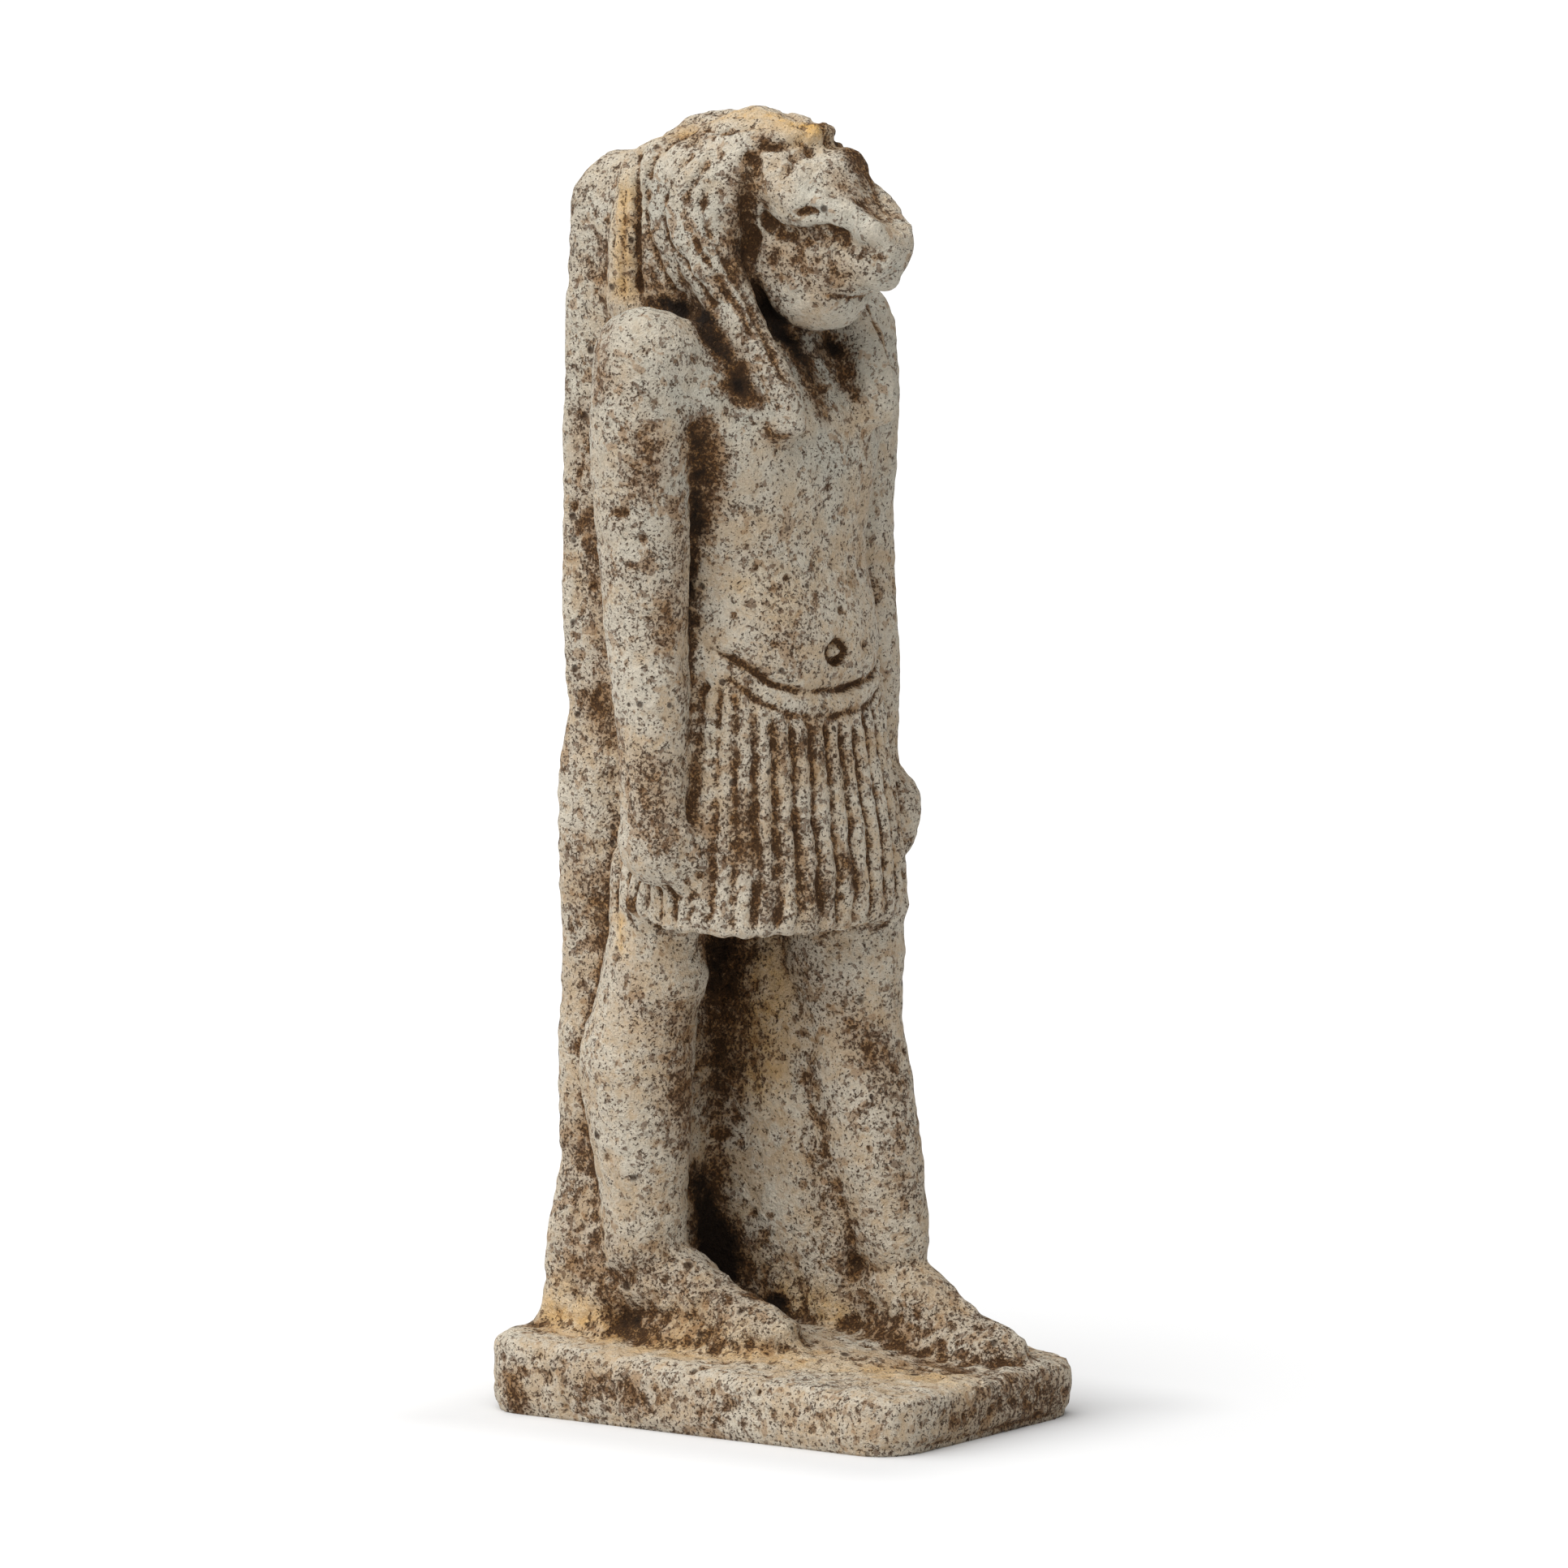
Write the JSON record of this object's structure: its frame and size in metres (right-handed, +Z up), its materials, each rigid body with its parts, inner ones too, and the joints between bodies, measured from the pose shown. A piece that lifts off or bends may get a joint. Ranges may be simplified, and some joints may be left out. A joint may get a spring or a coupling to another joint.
{
  "type": "amulet",
  "caption": "Small faience amulet of a striding figure with an animal head, striated wig and pleated kilt, against a back pillar on a low rounded base.",
  "frame": {"origin": "centre of the underside's outline, on the ground", "axes": "+Z up, the figure faces -Y and its own left side is +X"},
  "size_m": [0.0148, 0.0175, 0.0445],
  "materials": {
    "faience": "matt, worn and pitted, with brown earth stains"
  },
  "bodies": {
    "root": {"thoth_amulet": "faience"}
  },
  "joints": []
}
